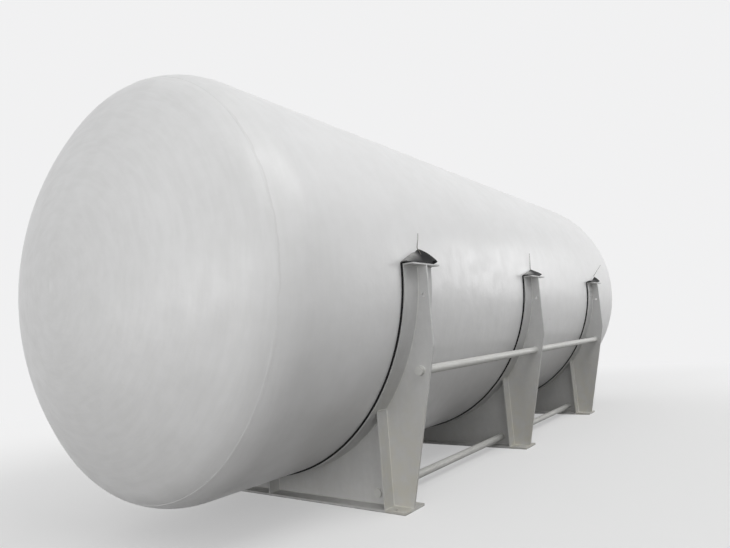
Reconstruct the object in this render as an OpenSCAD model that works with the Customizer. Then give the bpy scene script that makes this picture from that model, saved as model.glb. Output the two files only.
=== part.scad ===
// Horizontal pressure tank: a long shell with dished heads, cradled in three plate saddles
// that tie pipes join into one frame. Millimetres, real size.
// X runs along the tank from its front end, Y runs across it to its left, Z is up from the ground.

/* [Tank] */
// Outside diameter of the shell
tank_d = 3600; // [3400:10:3800]
// Length of the shell between the two heads
shell_len = 7800; // [7000:50:9000]
// Wall of the shell and of the heads
wall_t = 20; // [12:1:30]
// Outside radius of the dished middle of a head
crown_r = 2770; // [2500:10:3600]
// Outside radius of the rounded shoulder of a head
shoulder_r = 500; // [300:10:600]
// Angle round the shoulder from the shell to the seam bead
seam_at = 31; // [20:1:50]
// Angle that the seam bead covers round the shoulder
seam_span = 2; // [1:0.5:4]
// Height of the seam bead over the head
seam_t = 1.5; // [1:0.5:6]

/* [Saddle places] */
// Distance from an end saddle's web to the shell's end
saddle_inset = 1270; // [800:10:1600]
// Height of a cradle's lowest point over the base plate
belly_gap = 170; // [150:2:400]

/* [Base plate] */
// Length of a base plate across the tank
base_len = 3190; // [3000:10:3400]
// Width of a base plate along the tank
base_w = 300; // [260:5:400]
// Thickness of a base plate
base_t = 20; // [12:1:30]
// Diameter of an anchor hole
anchor_d = 30; // [20:1:40]
// Distance between anchor holes along the tank
anchor_pitch_x = 200; // [160:5:220]
// Distance between anchor holes across the tank
anchor_pitch_y = 2950; // [2880:2:3000]

/* [Web] */
// Thickness of a web plate
web_t = 20; // [10:1:24]
// Width of a column beside the cradle at its top
column_w = 87; // [70:1:140]
// Depth under the tank's axis of the knee where a column starts to lean in
knee_drop = 660; // [500:2:800]
// Distance from a column's foot to the end of the base plate
foot_inset = 5; // [0:1:40]
// Diameter of the lifting hole near a column's top
lift_hole_d = 35; // [20:1:40]
// Depth of the lifting hole under the tank's axis
lift_hole_drop = 235; // [120:5:350]

/* [Cradle band] */
// Thickness of the rolled band
band_t = 10; // [8:1:20]
// Width of the band along the tank
band_w = 436; // [380:2:480]
// Height of the band's ends over the tank's axis
band_rise = 27; // [15:1:160]

/* [Stiffeners] */
// Distance from the tank's middle plane to a side rib
rib_y = 1385; // [1350:1:1440]
// Distance from the web's middle plane to a rib's free edge
rib_reach = 143; // [110:1:148]
// Thickness of a rib
rib_t = 12; // [8:1:20]
// Thickness of a top plate
top_t = 12; // [8:1:20]

/* [Rubber liner] */
// Thickness of the space that the liner fills
liner_t = 14; // [6:1:24]
// Width of the liner along the tank
liner_w = 460; // [450:2:560]
// Height that the liner's square corners stand over the band
liner_lip = 5; // [2:1:20]
// Height of the liner's pointed end over the band
liner_tongue = 110; // [60:2:160]

/* [Tie pipes] */
// Outside diameter of a tie pipe
tie_d = 76; // [60:1:90]
// Wall of a tie pipe
tie_wall = 4; // [3:0.5:6]
// Depth of the upper ties under the tank's axis
upper_tie_drop = 861; // [780:1:960]
// Distance from an upper tie to the column's outer edge
upper_tie_edge = 87; // [75:1:110]
// Height of the lower ties over the base plate
lower_tie_rise = 92; // [60:1:140]
// Distance from a lower tie to the side rib outside it
lower_tie_in = 150; // [80:1:250]
// Length of an upper tie's stub outside an end web
upper_stub_len = 45; // [20:1:80]
// Length of a lower tie's stub outside an end web
lower_stub_len = 16; // [14:1:60]
// Thickness of the disc that closes a stub
cap_t = 6; // [4:1:12]

/* [Hidden] */
$fn = 192;

// Root gap left at every curved or threaded-through weld seat
weld_gap = 0.3;
// Reach of the blocks that cut pieces to height or length
past = 200;

tank_r = tank_d / 2;
cradle_r = tank_r + liner_t + band_t;
seat_r = cradle_r + weld_gap;
axis_h = base_t + belly_gap + cradle_r;
band_top = axis_h + band_rise;
column_top = band_top - top_t;
knee_h = axis_h - knee_drop;
column_out = cradle_r + column_w;
foot_out = base_len / 2 - foot_inset;
tie_r = tie_d / 2;
saddle_pitch = shell_len / 2 - saddle_inset;
front_x = -saddle_pitch;
middle_x = 0;
rear_x = saddle_pitch;

// Outer edge of a column at a height over the ground
function column_edge(h) = h >= knee_h ? column_out
  : foot_out + (column_out - foot_out) * (h - base_t) / (knee_h - base_t);
// Outer face of the cradle at a height over the ground
function cradle_edge(h) = sqrt(seat_r * seat_r - (axis_h - h) * (axis_h - h));

upper_tie_h = axis_h - upper_tie_drop;
upper_tie_y = column_edge(upper_tie_h) - upper_tie_edge;
lower_tie_h = base_t + lower_tie_rise;
lower_tie_y = rib_y - lower_tie_in;
lift_hole_h = axis_h - lift_hole_drop;
lift_hole_y = (cradle_edge(lift_hole_h) + column_edge(lift_hole_h)) / 2;

paint = [0.68, 0.68, 0.65];
gelcoat = [0.90, 0.90, 0.90];
black = [0.08, 0.08, 0.08];

// Lays an outline drawn across the tank (Y, Z) on the plane at x and gives it a thickness
module plate_at(x, t) {
  translate([x, 0, 0])
    rotate([90, 0, 90])
      linear_extrude(t, center = true)
        children();
}

// A round bar along the tank between two places
module bar(x0, x1, r) {
  translate([x0, 0, 0])
    rotate([0, 90, 0])
      cylinder(r = r, h = x1 - x0);
}

// A place on both sides of the tank's middle plane
module both_sides() {
  children();
  mirror([0, 1, 0])
    children();
}

// Tank

module shell() {
  color(gelcoat)
    translate([0, 0, axis_h])
      difference() {
        bar(-shell_len / 2, shell_len / 2, tank_r);
        bar(-shell_len / 2 - past, shell_len / 2 + past, tank_r - wall_t);
      }
}

// Centre of the crown under the shell joint, and the angle where crown and shoulder meet
crown_drop = sqrt(pow(crown_r - shoulder_r, 2) - pow(tank_r - shoulder_r, 2));
meet_angle = asin((tank_r - shoulder_r) / (crown_r - shoulder_r));

// A wedge from the origin between two angles off the Y axis, long enough to cut an arc of radius r
module wedge(a0, a1, r) {
  polygon([[0, 0], 2 * r * [sin(a0), cos(a0)], 2 * r * [sin(a1), cos(a1)]]);
}

// Half section of a solid head, drawn in from its outside by t
module dish(t) {
  translate([0, -crown_drop])
    intersection() {
      circle(r = crown_r - t);
      wedge(0, meet_angle, crown_r);
    }
  translate([tank_r - shoulder_r, 0])
    circle(r = shoulder_r - t);
}

// The bead round the shoulder where the dish was joined, rooted half way into the wall
module seam_bead() {
  translate([tank_r - shoulder_r, 0])
    intersection() {
      difference() {
        circle(r = shoulder_r + seam_t);
        circle(r = shoulder_r - wall_t / 2);
      }
      wedge(90 - seam_at - seam_span, 90 - seam_at, shoulder_r);
    }
}

// Half section of a dished head, its open end on y = 0
module head_section() {
  difference() {
    dish(0);
    dish(wall_t);
    translate([-tank_r, -2 * tank_r])
      square([3 * tank_r, 2 * tank_r]);
    translate([-tank_r, -tank_r])
      square([tank_r, 3 * tank_r]);
  }
  seam_bead();
}

module head(side) {
  color(gelcoat)
    translate([side * shell_len / 2, 0, axis_h])
      rotate([0, side * 90, 0])
        rotate_extrude()
          head_section();
}

module front_head() {
  head(-1);
}

module rear_head() {
  head(1);
}

// Saddles

module base_plate(x) {
  color(paint)
    translate([x, 0, 0])
      difference() {
        translate([-base_w / 2, -base_len / 2, 0])
          cube([base_w, base_len, base_t]);
        for (sx = [-1, 1], sy = [-1, 1])
          translate([sx * anchor_pitch_x / 2, sy * anchor_pitch_y / 2, -1])
            cylinder(d = anchor_d, h = base_t + 2, $fn = 48);
      }
}

// Outline of a saddle between its base plate and its top plates
module saddle_outline() {
  polygon([
    [-foot_out, base_t],
    [foot_out, base_t],
    [column_out, knee_h],
    [column_out, column_top],
    [-column_out, column_top],
    [-column_out, knee_h]
  ]);
}

module web(x, ties_pass) {
  color(paint)
    plate_at(x, web_t)
      difference() {
        saddle_outline();
        translate([0, axis_h])
          circle(r = seat_r);
        for (s = [-1, 1]) {
          translate([s * lift_hole_y, lift_hole_h])
            circle(d = lift_hole_d, $fn = 48);
          if (ties_pass) {
            translate([s * upper_tie_y, upper_tie_h])
              circle(r = tie_r + weld_gap, $fn = 48);
            translate([s * lower_tie_y, lower_tie_h])
              circle(r = tie_r + weld_gap, $fn = 48);
          }
        }
      }
}

module cradle(x) {
  color(paint)
    difference() {
      translate([x, 0, axis_h])
        difference() {
          bar(-band_w / 2, band_w / 2, cradle_r);
          bar(-band_w, band_w, cradle_r - band_t);
        }
      translate([x - band_w, -cradle_r - past, band_top])
        cube([2 * band_w, 2 * (cradle_r + past), cradle_r + past]);
    }
}

// Cuts away what lies inside the cradle's seat
module seated(x) {
  difference() {
    children();
    translate([x, 0, axis_h])
      bar(-base_w, base_w, seat_r, $fn = 360);
  }
}

// A rib before and behind the web at a place across the tank
module rib_pair(x, y, top) {
  for (side = [-1, 1])
    translate([x + side * (rib_reach + web_t / 2) / 2, y, base_t + top / 2])
      cube([rib_reach - web_t / 2, rib_t, top], center = true);
}

module side_ribs(x) {
  color(paint)
    seated(x)
      both_sides()
        rib_pair(x, rib_y, axis_h - base_t);
}

module centre_ribs(x) {
  color(paint)
    seated(x)
      rib_pair(x, 0, axis_h - tank_r);
}

module top_plates(x) {
  color(paint)
    difference() {
      translate([x - band_w / 2, -column_out, column_top])
        cube([band_w, 2 * column_out, top_t]);
      translate([x, 0, axis_h])
        bar(-band_w, band_w, seat_r, $fn = 360);
    }
}

module liner(x) {
  color(black)
    intersection() {
      translate([x, 0, axis_h])
        difference() {
          bar(-liner_w / 2, liner_w / 2, tank_r + liner_t - weld_gap);
          bar(-liner_w, liner_w, tank_r + weld_gap);
        }
      translate([x, 0, 0])
        rotate([90, 0, 0])
          linear_extrude(2 * (cradle_r + past), center = true)
            polygon([
              [-liner_w, 0],
              [liner_w, 0],
              [liner_w / 2, band_top + liner_lip],
              [0, band_top + liner_tongue],
              [-liner_w / 2, band_top + liner_lip]
            ]);
    }
}

module front_base_plate() {
  base_plate(front_x);
}

module front_web() {
  web(front_x, true);
}

module front_cradle() {
  cradle(front_x);
}

module front_side_ribs() {
  side_ribs(front_x);
}

module front_centre_ribs() {
  centre_ribs(front_x);
}

module front_top_plates() {
  top_plates(front_x);
}

module front_liner() {
  liner(front_x);
}

module middle_base_plate() {
  base_plate(middle_x);
}

module middle_web() {
  web(middle_x, false);
}

module middle_cradle() {
  cradle(middle_x);
}

module middle_side_ribs() {
  side_ribs(middle_x);
}

module middle_centre_ribs() {
  centre_ribs(middle_x);
}

module middle_top_plates() {
  top_plates(middle_x);
}

module middle_liner() {
  liner(middle_x);
}

module rear_base_plate() {
  base_plate(rear_x);
}

module rear_web() {
  web(rear_x, true);
}

module rear_cradle() {
  cradle(rear_x);
}

module rear_side_ribs() {
  side_ribs(rear_x);
}

module rear_centre_ribs() {
  centre_ribs(rear_x);
}

module rear_top_plates() {
  top_plates(rear_x);
}

module rear_liner() {
  liner(rear_x);
}

// Tie pipes

// A tie from the middle web, through an end saddle's web, to the disc on its stub
module tie(end, y, h, stub_len) {
  inner = web_t / 2;
  outer = saddle_pitch + web_t / 2 + stub_len - cap_t;
  x0 = end < 0 ? -outer : inner;
  x1 = end < 0 ? -inner : outer;
  color(paint)
    translate([0, y, h])
      difference() {
        bar(x0, x1, tie_r, $fn = 48);
        bar(x0 - 1, x1 + 1, tie_r - tie_wall, $fn = 48);
      }
}

module left_upper_tie_front() {
  tie(-1, upper_tie_y, upper_tie_h, upper_stub_len);
}

module left_upper_tie_rear() {
  tie(1, upper_tie_y, upper_tie_h, upper_stub_len);
}

module left_lower_tie_front() {
  tie(-1, lower_tie_y, lower_tie_h, lower_stub_len);
}

module left_lower_tie_rear() {
  tie(1, lower_tie_y, lower_tie_h, lower_stub_len);
}

module right_upper_tie_front() {
  tie(-1, -upper_tie_y, upper_tie_h, upper_stub_len);
}

module right_upper_tie_rear() {
  tie(1, -upper_tie_y, upper_tie_h, upper_stub_len);
}

module right_lower_tie_front() {
  tie(-1, -lower_tie_y, lower_tie_h, lower_stub_len);
}

module right_lower_tie_rear() {
  tie(1, -lower_tie_y, lower_tie_h, lower_stub_len);
}

// The disc that closes a tie's stub
module tie_cap(end, y, h, stub_len) {
  face = end * (saddle_pitch + web_t / 2 + stub_len - cap_t / 2);
  translate([0, y, h])
    bar(face - cap_t / 2, face + cap_t / 2, tie_r, $fn = 48);
}

module tie_caps(end) {
  color(paint)
    both_sides() {
      tie_cap(end, upper_tie_y, upper_tie_h, upper_stub_len);
      tie_cap(end, lower_tie_y, lower_tie_h, lower_stub_len);
    }
}

module front_tie_caps() {
  tie_caps(-1);
}

module rear_tie_caps() {
  tie_caps(1);
}

shell();
front_head();
rear_head();
front_base_plate();
front_web();
front_cradle();
front_side_ribs();
front_centre_ribs();
front_top_plates();
front_liner();
middle_base_plate();
middle_web();
middle_cradle();
middle_side_ribs();
middle_centre_ribs();
middle_top_plates();
middle_liner();
rear_base_plate();
rear_web();
rear_cradle();
rear_side_ribs();
rear_centre_ribs();
rear_top_plates();
rear_liner();
left_upper_tie_front();
left_upper_tie_rear();
left_lower_tie_front();
left_lower_tie_rear();
right_upper_tie_front();
right_upper_tie_rear();
right_lower_tie_front();
right_lower_tie_rear();
front_tie_caps();
rear_tie_caps();
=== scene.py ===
# Looks of the horizontal pressure tank: a white tank with dished ends, lying in three rubber-lined
# plate saddles that tie pipes join. Metres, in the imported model's own frame.
import math

import bmesh
import bpy
from mathutils import Matrix, Vector


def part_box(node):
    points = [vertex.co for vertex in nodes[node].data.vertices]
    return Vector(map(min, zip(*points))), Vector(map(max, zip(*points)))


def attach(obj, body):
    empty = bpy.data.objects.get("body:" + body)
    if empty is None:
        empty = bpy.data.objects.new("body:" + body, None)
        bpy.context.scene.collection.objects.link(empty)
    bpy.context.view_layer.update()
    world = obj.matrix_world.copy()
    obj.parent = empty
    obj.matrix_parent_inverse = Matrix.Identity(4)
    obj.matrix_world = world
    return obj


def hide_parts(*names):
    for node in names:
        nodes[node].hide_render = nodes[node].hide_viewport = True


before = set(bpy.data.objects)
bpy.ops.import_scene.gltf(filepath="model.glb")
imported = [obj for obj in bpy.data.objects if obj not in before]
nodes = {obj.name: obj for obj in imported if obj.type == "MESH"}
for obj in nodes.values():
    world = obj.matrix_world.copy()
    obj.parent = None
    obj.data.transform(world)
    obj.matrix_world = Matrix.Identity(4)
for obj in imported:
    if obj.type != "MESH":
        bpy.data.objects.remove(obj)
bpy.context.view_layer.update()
bpy.ops.object.select_all(action="DESELECT")

# Camera
# It stands off the tank's front right corner at eye height and looks up along the tank, tilted a
# little clockwise. Its place, angles and lens come from a fit to the outlines in the photograph.
camera_place = Vector((-6.7196, -4.3006, 1.4689))
camera_yaw = math.radians(36.6188)
camera_pitch = math.radians(6.3233)
camera_roll = math.radians(-4.3864)
camera_lens, camera_sensor = 27.835, 36
sight_limit = 400

ahead = Vector((
    math.cos(camera_yaw) * math.cos(camera_pitch),
    math.sin(camera_yaw) * math.cos(camera_pitch),
    math.sin(camera_pitch)))
level_right = Vector((math.sin(camera_yaw), -math.cos(camera_yaw), 0))
level_up = level_right.cross(ahead)
camera_right = math.cos(camera_roll) * level_right + math.sin(camera_roll) * level_up
camera_up = math.cos(camera_roll) * level_up - math.sin(camera_roll) * level_right
camera_turn = Matrix((camera_right, camera_up, -ahead)).transposed().to_4x4()

bpy.ops.object.camera_add()
camera = bpy.context.object
camera.name = "camera"
camera.matrix_world = Matrix.Translation(camera_place) @ camera_turn
camera.data.sensor_width = camera_sensor
camera.data.lens = camera_lens
camera.data.clip_end = sight_limit
bpy.context.scene.camera = camera

# Floor and light
# A plain floor that fades into an even backdrop, so pale only to the camera, gloss and glass. Soft
# lamps: two high on the right, four low round the front and the right, and two on the left.
floor_size = 200
floor_white = (0.88, 0.88, 0.87)
floor_bounce = (0.14, 0.135, 0.13)
backdrop_white = (0.88, 0.88, 0.885)
sky_light = (0.30, 0.303, 0.306)
fade_start, fade_end = 3.0, 12.5
fade_least = 0.42


def seen_directly(tree):
    """One where the camera, gloss or glass looks at the surface, else zero."""
    path = tree.nodes.new("ShaderNodeLightPath")
    seen = path.outputs["Is Camera Ray"]
    for ray in ("Is Glossy Ray", "Is Transmission Ray"):
        either = tree.nodes.new("ShaderNodeMath")
        either.operation = "MAXIMUM"
        tree.links.new(seen, either.inputs[0])
        tree.links.new(path.outputs[ray], either.inputs[1])
        seen = either.outputs[0]
    return seen


def plain_shader(tree, kind, colour):
    """A shader of one colour."""
    made = tree.nodes.new(kind)
    made.inputs["Color"].default_value = (*colour, 1)
    return made


def mix_shaders(tree, mask, first, second):
    """A mix of two shaders by a mask."""
    made = tree.nodes.new("ShaderNodeMixShader")
    tree.links.new(mask, made.inputs[0])
    tree.links.new(first.outputs[0], made.inputs[1])
    tree.links.new(second.outputs[0], made.inputs[2])
    return made


bpy.ops.mesh.primitive_plane_add(size=floor_size, location=(0, 0, 0))
floor = bpy.context.object
floor.name = "floor"
floor_paint = bpy.data.materials.new("pale_floor")
floor_paint.use_nodes = True
tree = floor_paint.node_tree
tree.nodes.clear()
floor_out = tree.nodes.new("ShaderNodeOutputMaterial")
floor_place = tree.nodes.new("ShaderNodeTexCoord")
floor_reach = tree.nodes.new("ShaderNodeVectorMath")
floor_reach.operation = "LENGTH"
tree.links.new(floor_place.outputs["Object"], floor_reach.inputs[0])
floor_fade = tree.nodes.new("ShaderNodeMapRange")
floor_fade.interpolation_type = "SMOOTHSTEP"
floor_fade.inputs["From Min"].default_value = fade_start
floor_fade.inputs["From Max"].default_value = fade_end
floor_fade.inputs["To Min"].default_value = fade_least
tree.links.new(floor_reach.outputs["Value"], floor_fade.inputs["Value"])
floor_look = plain_shader(tree, "ShaderNodeBsdfDiffuse", floor_white)
floor_far = plain_shader(tree, "ShaderNodeEmission", backdrop_white)
floor_glow = plain_shader(tree, "ShaderNodeBsdfDiffuse", floor_bounce)
floor_seen = mix_shaders(tree, floor_fade.outputs["Result"], floor_look, floor_far)
floor_mix = mix_shaders(tree, seen_directly(tree), floor_glow, floor_seen)
tree.links.new(floor_mix.outputs[0], floor_out.inputs["Surface"])
floor.data.materials.append(floor_paint)

world = bpy.data.worlds.new("sky")
world.use_nodes = True
bpy.context.scene.world = world
tree = world.node_tree
tree.nodes.clear()
world_out = tree.nodes.new("ShaderNodeOutputWorld")
sky_look = plain_shader(tree, "ShaderNodeBackground", backdrop_white)
sky_glow = plain_shader(tree, "ShaderNodeBackground", sky_light)
sky_mix = mix_shaders(tree, seen_directly(tree), sky_glow, sky_look)
tree.links.new(sky_mix.outputs[0], world_out.inputs["Surface"])


def add_lamp(name, place, aim, wide, high, watts, shine=True):
    """A soft rectangular lamp turned towards a point. Without shine, gloss doesn't mirror it."""
    bpy.ops.object.light_add(type="AREA", location=place)
    lamp = bpy.context.object
    lamp.name = name
    lamp.rotation_euler = (Vector(aim) - Vector(place)).to_track_quat("-Z", "Y").to_euler()
    lamp.data.shape = "RECTANGLE"
    lamp.data.size, lamp.data.size_y = wide, high
    lamp.data.energy = watts
    lamp.visible_glossy = shine


add_lamp("side_lamp", (-1.0, -9.5, 8.0), (0, 0, 2), wide=14, high=6, watts=130)
add_lamp("high_lamp", (-1.0, -7.5, 11.0), (0, 0, 2), wide=14, high=4, watts=545)
add_lamp("low_end_lamp", (-12.5, -3.5, 2.2), (-2, -1, 1), wide=7, high=3.6, watts=205)
add_lamp("ground_lamp", (-12.0, 0.5, 0.95), (-2.6, 0, 0.6), wide=9, high=1.5, watts=85)
add_lamp("low_side_lamp", (-8.5, -9.0, 1.7), (-3, -1, 1), wide=7, high=3, watts=70)
add_lamp("far_side_lamp", (8.5, -6.5, 3.5), (3, -1.5, 2), wide=4, high=4, watts=148)
add_lamp("back_lamp", (1.0, 10.0, 6.0), (0, 0, 2), wide=14, high=6, watts=430, shine=False)
add_lamp("low_back_lamp", (2.5, 15.5, 3.6), (1, 0, 1.2), wide=14, high=4, watts=420, shine=False)

bpy.context.scene.view_settings.view_transform = "Standard"

# Tank
# Glass-fibre laminate under a rolled white gelcoat: nearly smooth and glossy, with broad shallow
# waves from the winding, brush marks and a thin joint line round the ends, and a few specks.
gelcoat_white = (0.875, 0.875, 0.875)
gelcoat_grey = (0.79, 0.79, 0.785)
speck_grey = (0.42, 0.41, 0.39)
shell_low, shell_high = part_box("shell")
axis_height = (shell_low.z + shell_high.z) / 2
shell_end = shell_high.x
# The brush marks: how far they start short of the shell's end, how far past it they are at full
# strength, and their share on the shell
brush_short, brush_past = 0.3, 0.5
brush_least = 0.35
# The joint line: its place past the shell's end, half width and wander, the heights between which
# it shows and fades, its strength there and elsewhere, and how soft its edge is
seam_off = 0.2655
seam_half, seam_wander = 0.006, 0.012
seam_low, seam_high = 2.0, 3.25
seam_low_fade, seam_high_fade = 0.5, 0.25
seam_strong, seam_faint = 0.12, 0.012
seam_soft = 0.5
gelcoat_rough, gelcoat_specks = 0.30, 0.35
# Round the pole of an end, where rings would grow too small, patterns are evened out
pole_blur, pole_reach = 0.2, 0.25
# The part of the noise that makes a cloud, the least size of a speck, and the share of it that is
# full
cloud_low, cloud_high, cloud_rough = 0.32, 0.68, 0.55
speck_least, speck_core = 0.35, 0.6


def feed(tree, socket, value):
    """Links a socket to another one, or gives it a number or a colour."""
    if isinstance(value, bpy.types.NodeSocket):
        tree.links.new(value, socket)
    elif isinstance(value, tuple):
        socket.default_value = (*value, 1)
    else:
        socket.default_value = value


def add_math(tree, operation, *values):
    """A math node on sockets or numbers."""
    made = tree.nodes.new("ShaderNodeMath")
    made.operation = operation
    for socket, value in zip(made.inputs, values):
        feed(tree, socket, value)
    return made.outputs[0]


def add_scaled(tree, mask, times, plus=0.0):
    """A mask times a number, plus a number."""
    return add_math(tree, "MULTIPLY_ADD", mask, times, plus)


def add_shares(tree, *masks):
    """The sum of masks, each times its own share."""
    total = 0.0
    for mask, share in masks:
        total = add_math(tree, "MULTIPLY_ADD", mask, share, total)
    return total


def add_ramp(tree, source, low, high):
    """A smooth step from zero at low to one at high, of which either may be the larger."""
    made = tree.nodes.new("ShaderNodeMapRange")
    made.interpolation_type = "SMOOTHSTEP"
    for label, value in (("Value", source), ("From Min", low), ("From Max", high)):
        feed(tree, made.inputs[label], value)
    return made.outputs["Result"]


def add_mix(tree, mask, first, second):
    """A colour mix by a mask: each colour is a tuple or a socket."""
    made = tree.nodes.new("ShaderNodeMix")
    made.data_type = "RGBA"
    feed(tree, made.inputs[0], mask)
    for label, value in (("A", first), ("B", second)):
        socket = [one for one in made.inputs if one.name == label and one.type == "RGBA"][0]
        feed(tree, socket, value)
    return [one for one in made.outputs if one.type == "RGBA"][0]


def split_place(tree, place):
    """The X, Y and Z sockets of a coordinate."""
    parts = tree.nodes.new("ShaderNodeSeparateXYZ")
    tree.links.new(place, parts.inputs[0])
    return parts.outputs


def new_group(name, **values):
    """An empty node group that is to make a mask from a coordinate and named numbers."""
    group = bpy.data.node_groups.new(name, "ShaderNodeTree")
    group.interface.new_socket("Vector", in_out="INPUT", socket_type="NodeSocketVector")
    for label, value in values.items():
        socket = group.interface.new_socket(label, in_out="INPUT", socket_type="NodeSocketFloat")
        socket.default_value = value
    group.interface.new_socket("Mask", in_out="OUTPUT", socket_type="NodeSocketFloat")
    return group, group.nodes.new("NodeGroupInput"), group.nodes.new("NodeGroupOutput")


def place_group(tree, group, vector, **values):
    """A group in a material, on a coordinate, with its own values."""
    made = tree.nodes.new("ShaderNodeGroup")
    made.node_tree = group
    tree.links.new(vector, made.inputs["Vector"])
    for label, value in values.items():
        made.inputs[label].default_value = value
    return made.outputs[0]


def make_cloud():
    """Soft clouds: a mask of noise whose patches are about Size metres across."""
    group, start, end = new_group("soft_cloud", Size=0.5, Detail=3.0)
    noise = group.nodes.new("ShaderNodeTexNoise")
    noise.inputs["Roughness"].default_value = cloud_rough
    group.links.new(start.outputs["Vector"], noise.inputs["Vector"])
    group.links.new(add_math(group, "DIVIDE", 1.0, start.outputs["Size"]), noise.inputs["Scale"])
    group.links.new(start.outputs["Detail"], noise.inputs["Detail"])
    mask = add_ramp(group, noise.outputs["Fac"], cloud_low, cloud_high)
    group.links.new(mask, end.inputs["Mask"])
    return group


def make_specks():
    """Rare small round specks: one in a Share of a grid's cells, which are Cell metres across."""
    group, start, end = new_group("specks", Cell=0.2, Radius=0.06, Share=0.2)
    cells = group.nodes.new("ShaderNodeTexVoronoi")
    group.links.new(start.outputs["Vector"], cells.inputs["Vector"])
    group.links.new(add_math(group, "DIVIDE", 1.0, start.outputs["Cell"]), cells.inputs["Scale"])
    draws = group.nodes.new("ShaderNodeSeparateColor")
    group.links.new(cells.outputs["Color"], draws.inputs["Color"])
    chosen = add_math(group, "LESS_THAN", draws.outputs["Red"], start.outputs["Share"])
    spread = add_math(group, "ADD", draws.outputs["Green"], speck_least)
    reach = add_math(group, "MULTIPLY", start.outputs["Radius"], spread)
    core = add_math(group, "MULTIPLY", reach, speck_core)
    near = add_ramp(group, cells.outputs["Distance"], reach, core)
    group.links.new(add_math(group, "MULTIPLY", chosen, near), end.inputs["Mask"])
    return group


def round_axis(tree, place, squeeze):
    """A coordinate that is squeezed round the tank's axis, so that patterns run round it."""
    parts = split_place(tree, place)
    across = parts["Y"]
    up = add_math(tree, "SUBTRACT", parts["Z"], axis_height)
    reach = add_math(tree, "MULTIPLY_ADD", across, across, add_math(tree, "MULTIPLY", up, up))
    reach = add_math(tree, "SQRT", add_math(tree, "ADD", reach, pole_blur ** 2))
    share = add_math(tree, "DIVIDE", squeeze, add_math(tree, "ADD", reach, pole_reach))
    joined = tree.nodes.new("ShaderNodeCombineXYZ")
    tree.links.new(add_math(tree, "MULTIPLY", across, share), joined.inputs["X"])
    tree.links.new(add_math(tree, "MULTIPLY", up, share), joined.inputs["Y"])
    tree.links.new(add_math(tree, "ADD", parts["X"], reach), joined.inputs["Z"])
    return joined.outputs[0]


def new_finish(name):
    """A material with a Principled shader: its tree, shader and Object coordinates."""
    finish = bpy.data.materials.new(name)
    finish.use_nodes = True
    tree = finish.node_tree
    shader = tree.nodes["Principled BSDF"]
    coordinates = tree.nodes.new("ShaderNodeTexCoord")
    return finish, tree, shader, coordinates.outputs["Object"]


def add_bump(tree, shader, layers):
    """Chained bumps into a shader: each layer is a height socket and its depth in metres."""
    normal = None
    for height, depth in layers:
        bump = tree.nodes.new("ShaderNodeBump")
        bump.inputs["Distance"].default_value = depth
        tree.links.new(height, bump.inputs["Height"])
        if normal is not None:
            tree.links.new(normal, bump.inputs["Normal"])
        normal = bump.outputs["Normal"]
    tree.links.new(normal, shader.inputs["Normal"])


soft_cloud = make_cloud()
specks = make_specks()

gelcoat, tree, shader, place = new_finish("white_gelcoat")
parts = split_place(tree, place)
along, height = add_math(tree, "ABSOLUTE", parts["X"]), parts["Z"]
hoops = round_axis(tree, place, squeeze=0.35)
clouds = place_group(tree, soft_cloud, place, Size=0.9)
smudges = place_group(tree, soft_cloud, place, Size=0.16, Detail=5.0)
streaks = place_group(tree, soft_cloud, hoops, Size=0.065, Detail=4.0)
brushed = add_ramp(tree, along, shell_end - brush_short, shell_end + brush_past)
brushed = add_scaled(tree, brushed, 1 - brush_least, brush_least)
streaks = add_math(tree, "MULTIPLY", streaks, brushed)
dots = place_group(tree, specks, place, Cell=0.34, Radius=0.035, Share=0.3)

wander = add_scaled(tree, smudges, seam_wander, -seam_wander / 2)
from_seam = add_math(tree, "SUBTRACT", along, shell_end + seam_off)
from_seam = add_math(tree, "ABSOLUTE", add_math(tree, "ADD", from_seam, wander))
seam = add_ramp(tree, from_seam, seam_half * (1 + seam_soft), seam_half * (1 - seam_soft))
above = add_ramp(tree, height, seam_low - seam_low_fade, seam_low)
below = add_ramp(tree, height, seam_high, seam_high - seam_high_fade)
shown = add_scaled(tree, add_math(tree, "MULTIPLY", above, below), seam_strong, seam_faint)
seam = add_math(tree, "MULTIPLY", seam, shown)

tone = add_shares(tree, (clouds, 0.30), (smudges, 0.22), (streaks, 0.34))
colour = add_mix(tree, tone, gelcoat_white, gelcoat_grey)
colour = add_mix(tree, add_scaled(tree, dots, gelcoat_specks), colour, speck_grey)
colour = add_mix(tree, seam, colour, speck_grey)
tree.links.new(colour, shader.inputs["Base Color"])
uneven = add_shares(tree, (smudges, 0.10), (streaks, 0.05))
roughness = add_math(tree, "ADD", uneven, gelcoat_rough)
tree.links.new(roughness, shader.inputs["Roughness"])

waves = place_group(tree, soft_cloud, place, Size=0.55, Detail=1.0)
windings = place_group(tree, soft_cloud, hoops, Size=0.22, Detail=2.0)
dabs = place_group(tree, soft_cloud, place, Size=0.14, Detail=2.0)
peel = place_group(tree, soft_cloud, place, Size=0.012, Detail=1.0)
add_bump(tree, shader, [
    (waves, 0.0030), (windings, 0.0008), (dabs, 0.0009), (streaks, 0.00045), (peel, 0.00005)])

for name in ("shell", "front_head", "rear_head"):
    nodes[name].data.materials[0] = gelcoat

# Saddles
# Three frames of cut and welded steel plate: a base plate, a web with two columns, a rolled band in
# the web's seat, ribs and top plates. They are sprayed with a satin off-white paint over primer.
paint_white = (0.62, 0.62, 0.615)
paint_grey = (0.545, 0.545, 0.54)
dust_brown = (0.36, 0.33, 0.29)
# A dark brown for a painted contact shadow at the foot of the plates, along the floor
contact_shadow_brown = (0.035, 0.029, 0.023)
# Painted warm light, as bounced up from the floor, tints the paint yellow low down and mostly on
# the columns, which start this far from the middle plane
warm_light_tint = (0.965, 0.94, 0.85)
column_start, column_blend = 1.36, 0.04
warm_light_least = 0.15
# Runs are drawn out upright by a stretched coordinate. Lumps, as on a bead, are this deep for their
# size
run_stretch = (14.0, 14.0, 1.2)
lump_share = 0.125
paint_rough, paint_specks = 0.40, 0.4


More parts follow.
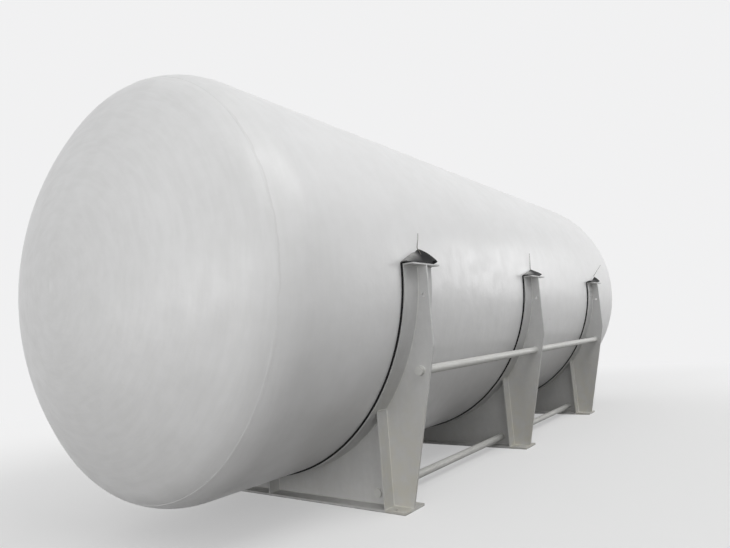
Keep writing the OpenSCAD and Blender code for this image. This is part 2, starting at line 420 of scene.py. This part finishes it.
def make_dust_and_painted_light():
    """A mask that thins out with height over the floor, broken up by clouds. It lays dust, and
    also painted light: a contact shadow and warm light low down.
    """
    group, start, end = new_group("dust_and_painted_light", Height=0.3, Strength=0.5)
    height = split_place(group, start.outputs["Vector"])["Z"]
    low = add_ramp(group, height, start.outputs["Height"], 0.0)
    cloud = place_group(group, soft_cloud, start.outputs["Vector"], Size=0.12, Detail=5.0)
    broken = add_math(group, "MULTIPLY", low, add_scaled(group, cloud, 0.7, 0.3))
    mask = add_math(group, "MULTIPLY", broken, start.outputs["Strength"])
    group.links.new(mask, end.inputs["Mask"])
    return group


dust_and_painted_light = make_dust_and_painted_light()


def make_paint(name, white, grey, lumps=None):
    """Satin paint on steel, a little uneven, with dust low down, specks and an orange-peel skin,
    plus painted light: a contact shadow at the foot and warm light low down, mostly on columns.
    """
    finish, tree, shader, place = new_finish(name)
    clouds = place_group(tree, soft_cloud, place, Size=0.35, Detail=4.0)
    smudges = place_group(tree, soft_cloud, place, Size=0.05, Detail=5.0)
    stretch = tree.nodes.new("ShaderNodeMapping")
    stretch.inputs["Scale"].default_value = run_stretch
    tree.links.new(place, stretch.inputs["Vector"])
    runs = place_group(tree, soft_cloud, stretch.outputs[0], Size=0.9, Detail=3.0)
    dots = place_group(tree, specks, place, Cell=0.09, Radius=0.05, Share=0.25)
    dust = place_group(tree, dust_and_painted_light, place, Height=0.35, Strength=0.10)
    # Painted contact shadow: the lowest few millimetres go nearly black
    contact_shadow = place_group(tree, dust_and_painted_light, place, Height=0.009, Strength=0.9)
    # Painted warm light: a yellow tint, strongest low down and on the columns
    warm_light = place_group(tree, dust_and_painted_light, place, Height=1.5, Strength=1.0)
    across = add_math(tree, "ABSOLUTE", split_place(tree, place)["Y"])
    outer = add_ramp(tree, across, column_start, column_start + column_blend)
    warm_light = add_math(tree, "MULTIPLY", warm_light, add_scaled(tree, outer, 1 - warm_light_least, warm_light_least))
    warm_lit_white = tuple(shade * tint for shade, tint in zip(white, warm_light_tint))

    tone = add_shares(tree, (clouds, 0.45), (smudges, 0.25), (runs, 0.25))
    colour = add_mix(tree, tone, white, grey)
    colour = add_mix(tree, warm_light, colour, warm_lit_white)
    colour = add_mix(tree, dust, colour, dust_brown)
    colour = add_mix(tree, contact_shadow, colour, contact_shadow_brown)
    colour = add_mix(tree, add_scaled(tree, dots, paint_specks), colour, speck_grey)
    tree.links.new(colour, shader.inputs["Base Color"])
    uneven = add_shares(tree, (smudges, 0.12), (dust, 0.3))
    roughness = add_math(tree, "ADD", uneven, paint_rough)
    tree.links.new(roughness, shader.inputs["Roughness"])

    ripples = place_group(tree, soft_cloud, place, Size=0.15, Detail=2.0)
    peel = place_group(tree, soft_cloud, place, Size=0.006, Detail=2.0)
    layers = [(ripples, 0.0006), (peel, 0.00006)]
    if lumps:
        swells = place_group(tree, soft_cloud, place, Size=lumps, Detail=2.0)
        layers.append((swells, lumps * lump_share))
    add_bump(tree, shader, layers)
    return finish


saddle_paint = make_paint("saddle_paint", paint_white, paint_grey)
for name, piece in nodes.items():
    if name.endswith(("_base_plate", "_web", "_cradle", "_ribs", "_top_plates")):
        piece.data.materials[0] = saddle_paint

# Weld beads
# Fillets of weld metal that join the plates, ribs, band and pipes of a saddle. They were laid by
# hand, a little uneven, and painted over with the plates.
# A lighter white and grey than the plates': a painted highlight along the joints
bead_highlight_white = (0.72, 0.72, 0.70)
bead_highlight_grey = (0.60, 0.60, 0.58)
bead_size, bead_sides = 0.006, 8
bead_step = 0.03
arc_steps, ring_steps = 150, 32
# A ring round a pipe is thinner than the other beads
ring_share = 0.8
swell_depth = 0.0006
slow_swell, quick_swell = Vector((83, 131, 97)), Vector((295, 411, 367))
near_gap = 0.0001
sharp_edge = math.radians(60)
web_low, web_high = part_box("front_web")
web_half = (web_high.x - web_low.x) / 2
# The beads at the web's foot end just short of the base plate's ends
foot_out = 1.590
base_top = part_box("front_base_plate")[1].z
band_low, band_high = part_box("front_cradle")
band_half = (band_high.x - band_low.x) / 2
band_radius = axis_height - band_low.z
band_top = band_high.z
plate_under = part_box("front_top_plates")[0].z
column_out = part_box("front_top_plates")[1].y
rib_low, rib_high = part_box("front_side_ribs")
rib_reach = (rib_high.x - rib_low.x) / 2
rib_thick = 0.012
bead_parts = []


def band_height(across):
    """Height of the band's outer face at a distance from the middle plane."""
    return axis_height - math.sqrt(band_radius ** 2 - across ** 2)


def saddle_middle(name):
    """Place along the tank of a saddle's web."""
    low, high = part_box(name + "_web")
    return (low.x + high.x) / 2


def pick(*pieces):
    """Selects only these pieces and makes the first one active."""
    bpy.ops.object.select_all(action="DESELECT")
    for piece in pieces:
        piece.select_set(True)
    bpy.context.view_layer.objects.active = pieces[0]


def join(pieces):
    """Makes one object of several."""
    pick(*pieces)
    bpy.ops.object.join()
    return bpy.context.object


def settle(piece):
    """Turns an object's place, turn and size into its mesh."""
    pick(piece)
    bpy.ops.object.transform_apply(location=True, rotation=True, scale=True)


def edit_select(piece, chosen):
    """Opens a piece in edit mode with only the edges that pass a test selected."""
    pick(piece)
    bpy.ops.object.mode_set(mode="EDIT")
    bpy.ops.mesh.select_mode(type="EDGE")
    bpy.ops.mesh.select_all(action="DESELECT")
    drawn = bmesh.from_edit_mesh(piece.data)
    for edge in drawn.edges:
        edge.select_set(bool(chosen(edge.verts[0].co, edge.verts[1].co)))
    bmesh.update_edit_mesh(piece.data)


def lay_straight(start, end):
    """A straight bead on the corner line between two plates, in short lengths."""
    start, end = Vector(start), Vector(end)
    run = end - start
    bpy.ops.mesh.primitive_cylinder_add(
        vertices=bead_sides, radius=bead_size, depth=run.length,
        location=(start + end) / 2, rotation=run.to_track_quat("Z", "Y").to_euler())
    bead = bpy.context.object
    edit_select(bead, lambda first, second: abs(first.z - second.z) > run.length / 2)
    bpy.ops.mesh.subdivide(number_cuts=max(2, int(run.length / bead_step)))
    bpy.ops.object.mode_set(mode="OBJECT")
    settle(bead)
    bead_parts.append(bead)


def lay_arc(along):
    """A bead along the band's outer face, spun from one end of the band to the other."""
    rise = math.asin((plate_under - axis_height) / band_radius)
    band_end = (
        along, -band_radius * math.cos(rise), axis_height + band_radius * math.sin(rise))
    bpy.ops.mesh.primitive_circle_add(
        vertices=bead_sides, radius=bead_size, fill_type="NGON",
        location=band_end, rotation=(-rise, 0, 0))
    bead = bpy.context.object
    settle(bead)
    bpy.ops.object.mode_set(mode="EDIT")
    bpy.ops.mesh.select_all(action="SELECT")
    bpy.ops.mesh.spin(
        steps=arc_steps, angle=-(math.pi + 2 * rise),
        center=(along, 0, axis_height), axis=(1, 0, 0))
    bpy.ops.mesh.select_all(action="SELECT")
    bpy.ops.mesh.remove_doubles(threshold=near_gap)
    bpy.ops.mesh.normals_make_consistent(inside=False)
    bpy.ops.object.mode_set(mode="OBJECT")
    bead_parts.append(bead)


def lay_ring(along, side, tie):
    """A bead round a tie pipe, where it goes through the web."""
    tie_low, tie_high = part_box(tie)
    bpy.ops.mesh.primitive_torus_add(
        major_radius=(tie_high.z - tie_low.z) / 2, minor_radius=bead_size * ring_share,
        major_segments=ring_steps, minor_segments=bead_sides, rotation=(0, math.pi / 2, 0),
        location=(along, side * (tie_low.y + tie_high.y) / 2, (tie_low.z + tie_high.z) / 2))
    ring = bpy.context.object
    settle(ring)
    bead_parts.append(ring)


for face in (-web_half, web_half):
    rib_end = math.copysign(rib_reach, face)
    band_edge = math.copysign(band_half, face)
    lay_straight((face, -foot_out, base_top), (face, foot_out, base_top))
    lay_arc(face)
    for side in (-1, 1):
        for across in (side * rib_high.y, side * (rib_high.y - rib_thick)):
            top = band_height(across)
            lay_straight((face, across, base_top), (face, across, top))
            lay_straight((face, across, base_top), (rib_end, across, base_top))
            lay_straight((face, across, top), (rib_end, across, top))
        across = side * rib_thick / 2
        lay_straight((face, across, base_top), (face, across, band_height(0)))
        lay_straight((face, across, base_top), (rib_end, across, base_top))
        seat, plate_end = side * band_radius, side * (column_out - bead_size)
        lay_straight((face, seat, plate_under), (face, plate_end, plate_under))
        lay_straight((face, seat, plate_under), (band_edge, seat, plate_under))
        for tie in ("right_upper_tie_front", "right_lower_tie_front"):
            lay_ring(face, side, tie)

bead_set = join(bead_parts)
for point in bead_set.data.vertices:
    swell = math.sin(slow_swell.dot(point.co)) + math.sin(quick_swell.dot(point.co))
    point.co += point.normal * swell_depth * swell
bpy.ops.object.shade_smooth_by_angle(angle=sharp_edge)

# Beads in the lighter paint, a painted highlight
highlit_bead_paint = make_paint("highlit_bead_paint", bead_highlight_white, bead_highlight_grey, lumps=0.009)
for name in ("front", "middle", "rear"):
    beads = bead_set.copy()
    beads.data = bead_set.data.copy()
    beads.name = name + "_weld_beads"
    bpy.context.collection.objects.link(beads)
    middle = saddle_middle(name)
    for point in beads.data.vertices:
        point.co.x += middle
    beads.data.materials.clear()
    beads.data.materials.append(highlit_bead_paint)
    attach(beads, "root")
bpy.data.objects.remove(bead_set)

# Rubber liners
# Strips of black sheet rubber, cut a little wider than the bands and laid between band and tank.
# Each end comes up out of the seat and folds down on the top plate as a loose tent. A pale
# painted sheen, lighter towards the ridge, lies on its front half: light caught there, painted in.
rubber_black = (0.010, 0.010, 0.011)
rubber_grey = (0.020, 0.020, 0.021)
# The pale colour of the painted sheen on the folds
rubber_painted_sheen = (0.42, 0.42, 0.41)
strip_radius, strip_half = 1.807, 0.230
strip_thick = 0.0134
fold_thick_share = 0.62
edge_round = 0.0014
strip_sharp_edge = math.radians(40)
strip_gloss, strip_rough = 0.15, 0.50
arc_columns, strip_columns = 144, 16
# How far a new row starts over the last one before it is put in its place, and how high over the
# band a point counts as folded
row_step, fold_clear = 0.02, 0.001
# Rows of a fold: the steps along, across and up that round its ridge and turn its hem, the share of
# the way down at which the ridge's shoulder lies, and the bulge of its slope
ridge_inside, ridge_outside = Vector((0, -0.002, -0.006)), Vector((0, 0.004, 0.001))
ridge_shoulder, hem_turn = Vector((0, 0.004, 0.002)), Vector((0, -0.004, 0.006))
shoulder_share = 0.14
bulge_share, bulge_most, bulge_rise = 0.10, 0.010, 0.7
# Knots along a folded end, as share of the half width, place along, distance from the middle plane
# and height over the band: the ridge of the fold, and its hem on the plate
fold_ridges = {
    "front": [
        (-1.0, -0.236, 1.812, 0.012), (-0.75, -0.188, 1.812, 0.038), (-0.5, -0.122, 1.812, 0.070),
        (-0.25, -0.058, 1.811, 0.100), (0.0, -0.006, 1.813, 0.108), (0.125, 0.022, 1.819, 0.140),
        (0.3125, 0.064, 1.845, 0.121), (0.5, 0.114, 1.868, 0.094), (0.75, 0.176, 1.872, 0.067),
        (1.0, 0.241, 1.876, 0.034)],
    "middle": [
        (-1.0, -0.236, 1.812, 0.012), (-0.625, -0.143, 1.812, 0.038), (-0.25, -0.048, 1.811, 0.062),
        (0.0, 0.008, 1.819, 0.090), (0.1875, 0.049, 1.845, 0.070), (0.5, 0.108, 1.868, 0.053),
        (1.0, 0.215, 1.876, 0.032)],
    "rear": [
        (-1.0, -0.236, 1.812, 0.012), (-0.5, -0.112, 1.812, 0.034), (0.25, 0.062, 1.811, 0.045),
        (0.5, 0.135, 1.813, 0.060), (0.625, 0.180, 1.819, 0.112), (0.75, 0.196, 1.845, 0.084),
        (0.875, 0.220, 1.868, 0.058), (1.0, 0.250, 1.876, 0.032)]}
fold_hems = {
    "front": [
        (-1.0, -0.250, 1.880, 0.006), (0.0, 0.000, 1.883, 0.006), (0.625, 0.144, 1.884, 0.010),
        (0.75, 0.166, 1.882, 0.044), (1.0, 0.234, 1.879, 0.028)],
    "middle": [
        (-1.0, -0.250, 1.880, 0.006), (0.0, 0.000, 1.883, 0.006), (0.625, 0.132, 1.883, 0.012),
        (1.0, 0.204, 1.879, 0.024)],
    "rear": [
        (-1.0, -0.250, 1.880, 0.006), (0.0, 0.000, 1.883, 0.006), (0.625, 0.140, 1.883, 0.010),
        (1.0, 0.240, 1.879, 0.023)]}
# Painted sheen on a fold, a pale colour for light caught there: how much each has, how far
# before the peak it ends and over what length it fades, the shares of the ridge's height where it
# starts and is full, and the least height over the band of the sheen and of a ridge
sheen_share = {"front": 0.85, "middle": 1.0, "rear": 0.15}
sheen_stop, sheen_fade = 0.012, 0.07
sheen_start, sheen_full = 0.15, 0.90
sheen_floor, least_ridge = 0.004, 0.02


def along_knots(knots, share):
    """The place on a row of knots at a share, by which the knots are sorted."""
    for low, high in zip(knots, knots[1:]):
        if share <= high[0]:
            return Vector(low[1:]).lerp(Vector(high[1:]), (share - low[0]) / (high[0] - low[0]))
    return Vector(knots[-1][1:])


def fold_peak(name):
    """The place of the highest knot of a folded end's ridge."""
    return Vector(max(fold_ridges[name], key=lambda knot: knot[3])[1:])


def fold_rows(share, name):
    """The places of an end's rows at one column, from the seat over the ridge to the hem."""
    seat = Vector((share * strip_half, strip_radius, 0))
    ridge = along_knots(fold_ridges[name], share)
    hem = along_knots(fold_hems[name], share)
    bulge = min(bulge_most, bulge_share * (ridge - hem).length)
    return [
        seat.lerp(ridge, 0.5),
        ridge + ridge_inside,
        ridge + ridge_outside,
        ridge.lerp(hem, shoulder_share) + ridge_shoulder,
        ridge.lerp(hem, 0.5) + Vector((0, bulge, bulge * bulge_rise)),
        hem + hem_turn,
        hem]


def full_between(value, start, full):
    """Zero up to start, one from full on, and even between them."""
    return min(1.0, max(0.0, (value - start) / (full - start)))


rubber, tree, shader, place = new_finish("black_rubber")
clouds = place_group(tree, soft_cloud, place, Size=0.08, Detail=5.0)
# The painted sheen on each fold is read from a point attribute of the strip
sheen_attribute = tree.nodes.new("ShaderNodeAttribute")
sheen_attribute.attribute_name = "painted_sheen"
sheen_mask = add_math(tree, "MULTIPLY", sheen_attribute.outputs["Fac"], add_scaled(tree, clouds, 0.4, 0.6))
colour = add_mix(tree, add_scaled(tree, clouds, 0.3), rubber_black, rubber_grey)
colour = add_mix(tree, sheen_mask, colour, rubber_painted_sheen)
tree.links.new(colour, shader.inputs["Base Color"])
tree.links.new(add_scaled(tree, clouds, 0.15, strip_rough), shader.inputs["Roughness"])
shader.inputs["Specular IOR Level"].default_value = strip_gloss
grain = place_group(tree, soft_cloud, place, Size=0.004, Detail=2.0)
add_bump(tree, shader, [(grain, 0.0001)])

for name in ("front", "middle", "rear"):
    middle = saddle_middle(name)
    bpy.ops.object.select_all(action="DESELECT")
    bpy.ops.mesh.primitive_cylinder_add(
        vertices=arc_columns, radius=strip_radius, depth=2 * strip_half, end_fill_type="NOTHING",
        location=(middle, 0, axis_height), rotation=(0, math.pi / 2, 0))
    strip = bpy.context.object
    strip.name = name + "_liner_strip"
    settle(strip)
    bpy.ops.object.mode_set(mode="EDIT")
    bpy.ops.mesh.select_all(action="SELECT")
    bpy.ops.mesh.bisect(plane_co=(0, 0, band_top), plane_no=(0, 0, 1), clear_outer=True)
    bpy.ops.object.mode_set(mode="OBJECT")
    edit_select(strip, lambda first, second: abs(first.x - second.x) > strip_half)
    bpy.ops.mesh.subdivide(number_cuts=strip_columns - 1)
    bpy.ops.object.mode_set(mode="OBJECT")

    shares = [2 * column / strip_columns - 1 for column in range(strip_columns + 1)]
    rows = list(zip(*(fold_rows(share, name) for share in shares)))
    for side in (-1, 1):
        edit_select(strip, lambda first, second: min(first.z, second.z) > band_top - near_gap
            and min(first.y * side, second.y * side) > 0)
        for row in rows:
            bpy.ops.mesh.extrude_region_move(TRANSFORM_OT_translate={"value": (0, 0, row_step)})
            drawn = bmesh.from_edit_mesh(strip.data)
            ends = [point for point in drawn.verts if point.select]
            for point, spot in zip(sorted(ends, key=lambda end: end.co.x), row):
                point.co = (middle + spot.x, side * spot.y, band_top + spot.z)
            bmesh.update_edit_mesh(strip.data)
        bpy.ops.object.mode_set(mode="OBJECT")

    thick = strip.vertex_groups.new(name="thick")
    for point in strip.data.vertices:
        folded = point.co.z > band_top + fold_clear
        thick.add([point.index], fold_thick_share if folded else 1.0, "REPLACE")
    smooth = strip.modifiers.new("smooth", "SUBSURF")
    smooth.levels = smooth.render_levels = 1
    smooth.boundary_smooth = "PRESERVE_CORNERS"
    wall = strip.modifiers.new("wall", "SOLIDIFY")
    wall.thickness = strip_thick
    wall.offset = 0
    wall.vertex_group = "thick"
    rounded = strip.modifiers.new("rounded", "BEVEL")
    rounded.width = edge_round
    rounded.segments = 2
    rounded.limit_method = "ANGLE"
    rounded.angle_limit = sharp_edge
    pick(strip)
    for modifier in ("smooth", "wall", "rounded"):
        bpy.ops.object.modifier_apply(modifier=modifier)
    bpy.ops.object.shade_smooth_by_angle(angle=strip_sharp_edge)

    # The painted sheen lies on the fold before its peak, and thins out down to the seat
    sheen_end = fold_peak(name).x - sheen_stop
    ridge_line = [knot[1:2] + knot[1:] for knot in fold_ridges[name]]
    sheen_layer = strip.data.attributes.new("painted_sheen", "FLOAT", "POINT")
    for point, sheen_value in zip(strip.data.vertices, sheen_layer.data):
        along, height = point.co.x - middle, point.co.z - band_top
        ridge = max(along_knots(ridge_line, along).z, least_ridge)
        before = full_between(along, sheen_end, sheen_end - sheen_fade)
        raised = full_between(height / ridge, sheen_start, sheen_full)
        sheen_value.value = sheen_share[name] * before * raised if height > sheen_floor else 0.0
    strip.data.materials.append(rubber)
    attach(strip, "root")
    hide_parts(name + "_liner")

# Liner wires
# A short stiff steel tie wire stands up out of the peak of each folded liner end. It is bent to a
# hook and pushed through the rubber from outside.
wire_dark, wire_light = (0.10, 0.095, 0.09), (0.17, 0.15, 0.13)
wire_rough, wire_metal = 0.45, 0.6
wire_radius = 0.0026
wire_steps, wire_rings = 6, 2
peak_sink = Vector((0, 0, -0.004))
# Places along, from the middle plane and over the band: the hook's steps from the peak, and the
# steps aside from the line to the tip at two shares of the way
wire_hook = [(-0.006, 0.036, -0.052), (-0.004, 0.022, -0.020), (0, 0.003, 0.004)]
wire_bends = [(0.22, (-0.003, 0.002, 0.008)), (0.62, (0.003, 0.001, 0.002))]
wire_girths = (1.3, 1.3, 1.5, 1.35, 0.9, 0.8)
wire_tips = {
    "front": (0.093, 1.797, 0.284), "middle": (0.096, 1.797, 0.298), "rear": (0.363, 1.897, 0.302)}

wire_steel, tree, shader, place = new_finish("wire_steel")
tarnish = place_group(tree, soft_cloud, place, Size=0.02, Detail=3.0)
tree.links.new(add_mix(tree, tarnish, wire_dark, wire_light), shader.inputs["Base Color"])
tree.links.new(add_scaled(tree, tarnish, 0.3, wire_rough), shader.inputs["Roughness"])
shader.inputs["Metallic"].default_value = wire_metal
add_bump(tree, shader, [(tarnish, 0.0001)])

for name, tip in wire_tips.items():
    middle = saddle_middle(name)
    peak, tip = fold_peak(name) + peak_sink, Vector(tip)
    route = [peak + Vector(step) for step in wire_hook]
    route += [peak.lerp(tip, share) + Vector(step) for share, step in wire_bends]
    route.append(tip)
    wires = []
    for side in (-1, 1):
        bpy.ops.curve.primitive_bezier_curve_add()
        wire = bpy.context.object
        wire.data.splines.clear()
        spline = wire.data.splines.new("BEZIER")
        spline.bezier_points.add(len(route) - 1)
        for knot, spot, girth in zip(spline.bezier_points, route, wire_girths):
            knot.co = (middle + spot.x, side * spot.y, band_top + spot.z)
            knot.radius = girth
            knot.handle_left_type = knot.handle_right_type = "AUTO"
        wire.data.resolution_u = wire_steps
        wire.data.bevel_depth = wire_radius
        wire.data.bevel_resolution = wire_rings
        wire.data.use_fill_caps = True
        bpy.ops.object.convert(target="MESH")
        wires.append(bpy.context.object)
    pair = join(wires)
    pair.name = name + "_liner_wires"
    settle(pair)
    bpy.ops.object.shade_smooth_by_angle(angle=sharp_edge)
    pair.data.materials.append(wire_steel)
    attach(pair, "root")

# Tie pipes
# Round steel pipes that run through the end webs and butt on the middle one. They are welded round
# at each web, closed with discs at their stubs, and sprayed with the saddles.
tie_white = (0.66, 0.66, 0.64)
tie_grey = (0.57, 0.57, 0.55)
tie_paint = make_paint("tie_paint", tie_white, tie_grey)
for name, piece in nodes.items():
    if "_tie_" in name:
        piece.data.materials[0] = tie_paint
